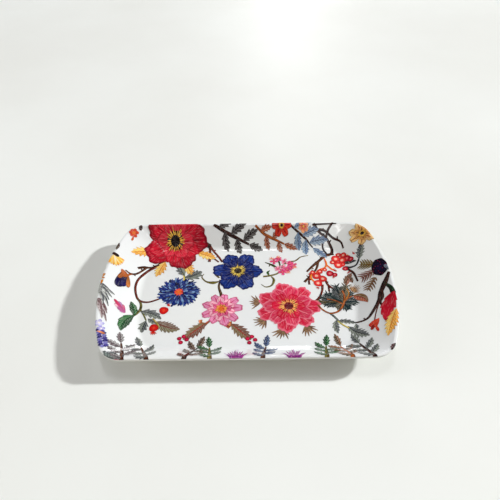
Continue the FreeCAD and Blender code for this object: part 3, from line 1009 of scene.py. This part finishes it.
def needle_ink():
    ink = InkGraph("needle_ink")
    colour = ink.mix(ink.rise(ink.across, -0.7, 0.7), ink.inner, ink.outer)
    colour = ink.brush(colour, ink.line, 0.8, 0.5, (0.48, 0.6), 0.65)
    return ink.glaze(colour, gloss=INK_GLOSS)


def fruit_ink():
    ink = InkGraph("fruit_ink")
    colour = ink.mix(ink.rise(ink.along, 0.2, 0.5), ink.inner, ink.outer)
    colour = ink.brush(colour, ink.line, 0.9, 0.9, (0.5, 0.62), 0.5)
    colour = ink.blend(colour, ink.line, ink.rise(ink.along, 0.72, 0.96), 0.75)
    return ink.glaze(colour, gloss=INK_GLOSS)


def paint(*colour):
    """A colour on the 0 to 255 scale as a node's colour."""
    return linear(colour) + (1.0,)


def white_melamine(name, warm, cool, roughness):
    """White moulded melamine with the faint cloudiness of a pressed part."""
    graph = Graph(name)
    cloud = graph.rise(graph.noise(graph.place, 18.0, 3.0), 0.35, 0.65)
    speck = graph.rise(graph.noise(graph.place, 900.0), 0.7, 0.8, 0.0, 0.06)
    colour = graph.mix(speck, graph.mix(cloud, paint(*warm), paint(*cool)), paint(*SLATE))
    return graph.glaze(colour, roughness)


def floor_paint():
    graph = Graph("floor_paint")
    broad = graph.rise(graph.noise(graph.place, 3.0, 4.0), 0.3, 0.7)
    fine = graph.noise(graph.place, 140.0, 4.0)
    graph.bump(fine, 0.15)
    graph.set("Base Color", graph.mix(broad, paint(230, 231, 228), paint(237, 239, 237)))
    graph.set("Roughness", graph.rise(fine, 0.3, 0.7, 0.5, 0.62))
    return graph.material


# ---------------------------------------------------------------- the pieces

ground = new_piece(
    "glazed_inside", inside.points, inside.faces, inside.normals,
    white_melamine("glazed_white", (231, 233, 233), (228, 230, 232), 0.04),
)
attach(ground, "root")
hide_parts("decor_foil", "clear_glaze")

for ink, material in (
    (stems, stem_ink()), (leaves, leaf_ink()), (petals, petal_ink()),
    (needles, needle_ink()), (fruits, fruit_ink()),
):
    piece = ink.lay(material)
    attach(piece, "root")

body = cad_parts["tray_body"]
body_paint = white_melamine("moulded_white", (224, 223, 219), (219, 220, 219), 0.09)
for slot in body.material_slots:
    slot.link = "OBJECT"
    slot.material = body_paint

# ---------------------------------------------------------------- floor, lights, camera

FLOOR_SIZE = 6.0
SENSOR_WIDTH = 36.0
LENS = 36.9
CAMERA_PLACE = (3.4 * MM, -279 * MM, 331.2 * MM)
# degrees below level, round the upright and about the line of sight
CAMERA_DOWN, CAMERA_TURN, CAMERA_ROLL = 44.64, 0.1, -0.81


def make_floor():
    """A plain pale floor under the tray."""
    half = FLOOR_SIZE / 2
    corners = np.array([(-half, -half, 0), (half, -half, 0), (half, half, 0), (-half, half, 0)])
    floor = new_piece("floor", corners, [(0, 1, 2, 3)], np.array([(0, 0, 1)] * 4), floor_paint())


def area_light(name, place, size, size_y, power, colour=(1, 1, 1)):
    """A soft rectangular light that faces the tray."""
    data = bpy.data.lights.new(name, "AREA")
    data.shape = "RECTANGLE"
    data.size, data.size_y = size, size_y
    data.energy = power
    data.color = colour
    light = bpy.data.objects.new(name, data)
    light.location = place
    light.rotation_euler = (-Vector(place)).to_track_quat("-Z", "Y").to_euler()
    bpy.context.scene.collection.objects.link(light)
    return light


def light_scene():
    """A low key light from the right, faint fills, and windows that show in the gloss."""
    world = bpy.data.worlds.new("studio")
    world.use_nodes = True
    background = world.node_tree.nodes["Background"]
    background.inputs["Color"].default_value = (1.0, 0.99, 0.97, 1.0)
    background.inputs["Strength"].default_value = 0.18
    bpy.context.scene.world = world
    bpy.context.scene.view_settings.view_transform = "Standard"
    area_light("key", (5.12, 1.24, 2.87), 0.3, 0.3, 382, (0.99, 1.0, 0.985))
    for fill in (
        area_light("sky", (-1.32, 1.1, 2.46), 1.6, 1.6, 7.5, (0.97, 0.99, 1.0)),
        area_light("left_fill", (-2.5, 0.2, 0.91), 1.0, 1.0, 18, (0.99, 0.99, 1.0)),
        area_light("front_fill", (-0.4, -2.2, 1.3), 1.0, 1.0, 9, (1.0, 0.88, 0.64)),
    ):
        fill.visible_glossy = False
    area_light("ceiling", (0.02, 0.6, 2.5), 0.36, 0.8, 8.0)
    area_light("back_window", (0.18, 1.9, 0.45), 0.18, 0.5, 4.2)
    area_light("front_window", (0.37, -1.2, 1.8), 0.15, 0.28, 0.42, (0.93, 0.96, 1.0))
    area_light("high_window", (0.34, -0.45, 2.12), 0.12, 0.35, 0.8, (0.93, 0.96, 1.0))
    area_light("window_top", (0.37, -1.0, 1.92), 0.17, 0.014, 0.09)
    area_light("window_side", (0.46, -1.2, 1.8), 0.016, 0.28, 0.16)


def place_camera():
    """A phone held in front of the tray, looking down at it."""
    data = bpy.data.cameras.new("camera")
    data.sensor_width = SENSOR_WIDTH
    data.lens = LENS
    camera = bpy.data.objects.new("camera", data)
    tilt = Matrix.Rotation(math.radians(90 - CAMERA_DOWN), 4, "X")
    turn = Matrix.Rotation(math.radians(CAMERA_TURN), 4, "Z")
    roll = Matrix.Rotation(math.radians(CAMERA_ROLL), 4, "Z")
    camera.matrix_world = Matrix.Translation(CAMERA_PLACE) @ turn @ tilt @ roll
    bpy.context.scene.collection.objects.link(camera)
    bpy.context.scene.camera = camera


make_floor()
light_scene()
place_camera()

bpy.context.view_layer.update()
